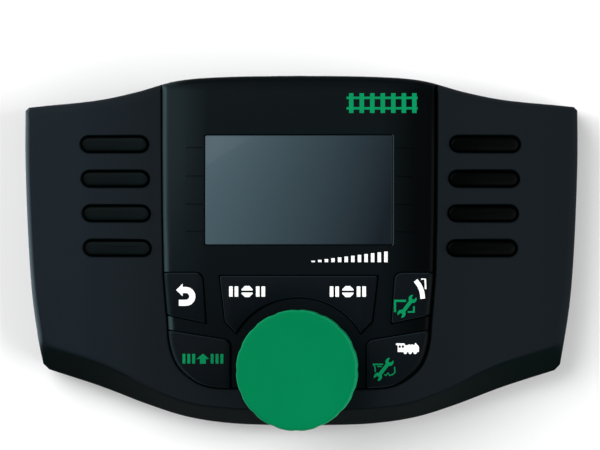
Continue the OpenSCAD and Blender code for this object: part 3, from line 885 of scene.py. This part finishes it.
printed("backMark", "back_key", "whiteInk", face["keyZ"], [turnBack])
printed("stopMarks", "stop_key", "whiteInk", face["keyZ"],
        [shifted(part, x, -11.2) for x in (-14.8, 14.2) for part in stopSign])
printed("shiftMark", "shift_key", "greenInk", face["keyZ"],
        [shifted(part, -27.55, -30.55) for part in shiftSign])
printed("pointsMark", "turnout_key", "whiteInk", face["keyZ"], pointsSign)
printed("pointsToolMark", "turnout_key", "greenInk", face["keyZ"],
        wrench((29.6, -17.55), (32.8, -13.3)) + blockFrame)
printed("engineMark", "loco_key", "whiteInk", face["keyZ"], engineSide, cabWindows)
printed("engineToolMark", "loco_key", "greenInk", face["keyZ"],
        wrench((22.85, -35.65), (26.15, -31.4)) + engineLine)
printed("trackMark", "housing", "greenInk", face["fasciaZ"], track)
printed("speedMark", "housing", "whiteInk", face["fasciaZ"], speed)
print("marks printed")

# Silicone mats: each key has its own dome, made in its resting shape
mat = {"low": 9.0, "top": 9.8, "round": 0.4, "r": 3.4, "wideR": 3.6, "keep": 0.6}


def makeDome(name, spot, r):
    steps = [(r + 0.5, 0.0), (r + 0.1, 0.12), (r - 0.25, 0.5), (r - 0.6, 1.2), (r - 0.85, 1.75),
             (r - 0.95, 2.05), (r - 1.1, 2.2), (0.9, 2.2), (0.8, 2.1)]
    dome = stack(name, [(circle(spot, rr), mat["top"] + up) for rr, up in steps])
    settle(dome, "housing", "silicone")
    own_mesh(dome)


def makeSheet(name, node, areas):
    sheets = []
    for low, high in areas:
        shape = rectangle(low, high, 1.5)
        edges = softened(shape, [mat["round"]] * len(shape), mat["top"], 3)
        sheets.append(stack(name, [(shape, mat["low"])] + edges))
    for extra in sheets[1:]:
        carve(sheets[0], extra, "UNION")
    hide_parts(node)
    settle(sheets[0], "housing", "silicone")


def makeMats():
    for side, sideName in ((left, "left"), (right, "right")):
        low, high = sorted((43 * side, 63.8 * side))
        makeSheet("matSheet_" + sideName, "keymat_" + sideName, [((low, -3.2), (high, 35.6))])
        for row in (1, 2, 3, 4):
            spot = ((pill["x"] + pill["stepX"] * row) * side, pill["y"] + pill["stepY"] * row)
            makeDome("dome_%s_%d" % (sideName, row), spot, mat["r"])
        makeDome("stopDome_" + sideName, (15.5 * side, -11.5), mat["wideR"])
    makeSheet("matSheet_centre", "keymat_centre",
              [((-38, -34), (-24, -6)), ((24, -34), (38, -6)), ((-25, -16), (25, -6))])
    for key, spot in (("back", (-33, -12)), ("turnout", (33, -12)), ("shift", (-29, -30)),
                      ("loco", (29, -30))):
        makeDome(key + "Dome", spot, mat["wideR"])


makeMats()

# The metal dome under the encoder's plunger, made in its resting shape
click = {"low": 9.6, "rim": 2.6, "keep": 0.42}


def makeClickDome():
    steps = [(click["rim"], 0), (click["rim"], 0.16), (2.2, 0.2), (1.7, 0.44), (1.1, 0.66), (0.5, 0.78),
             (0.2, 0.8)]
    dome = stack("pushDome", [(circle((0, knobY), r, 32), click["low"] + up) for r, up in steps])
    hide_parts("push_dome")
    settle(dome, "housing", "steel")
    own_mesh(dome)


makeClickDome()
print("mats and domes made")

# What stays in its CAD shape takes its finish from its slot
for name, node in frame["nodes"].items():
    if node.hide_render:
        continue
    node.data.materials.clear()
    node.data.materials.append(finishes[slotOf[name]])

# Floor, light and camera
studio = {"floor": tone(250, 250, 250), "floorZ": -0.00005, "world": 0.17, "key": 41.0, "fill": 38.0,
          "rim": 7.0, "target": (-0.00044, 0.00792, 0.009), "distance": 1.6, "yaw": 3.0, "lens": 330.6}


def makeFloor():
    bpy.ops.object.select_all(action="DESELECT")
    bpy.ops.mesh.primitive_plane_add(size=6, location=(0, 0, studio["floorZ"]))
    floor = bpy.context.object
    floor.name = "floor"
    material, shader, place = startFinish("paleFloor")
    attach(shader, "Base Color", place.noise(3, 2).colours(tone(247, 247, 248), studio["floor"]))
    shader.inputs["Roughness"].default_value = 0.9
    shader.inputs["Specular IOR Level"].default_value = 0.1
    floor.data.materials.append(material)


def makeLight(name, place, size, power):
    light = bpy.data.lights.new(name, "AREA")
    light.energy, light.size = power, size
    lamp = bpy.data.objects.new(name, light)
    lamp.location = place
    lamp.rotation_euler = (Vector((0, 0, 0.01)) - Vector(place)).to_track_quat("-Z", "Y").to_euler()
    bpy.context.collection.objects.link(lamp)


makeFloor()
makeLight("keyLight", (-1.0, 0.8, 1.6), 1.9, studio["key"])
makeLight("fillLight", (1.7, -0.3, 1.1), 1.6, studio["fill"])
makeLight("rimLight", (-1.5, 0.5, 0.5), 0.7, studio["rim"])
world = bpy.data.worlds.new("softRoom")
world.use_nodes = True
world.node_tree.nodes["Background"].inputs[0].default_value = (1, 1, 1, 1)
world.node_tree.nodes["Background"].inputs[1].default_value = studio["world"]
bpy.context.scene.world = world
bpy.context.scene.view_settings.view_transform = "Standard"

lens = bpy.data.cameras.new("camera")
lens.sensor_width, lens.lens = 36, studio["lens"]
lens.clip_start, lens.clip_end = 0.1, 20
camera = bpy.data.objects.new("camera", lens)
yaw = math.radians(studio["yaw"])
camera.location = Vector(studio["target"]) + studio["distance"] * Vector((math.sin(yaw), 0, math.cos(yaw)))
camera.rotation_euler = (0, yaw, 0)
bpy.context.collection.objects.link(camera)
bpy.context.scene.camera = camera
print("studio set")
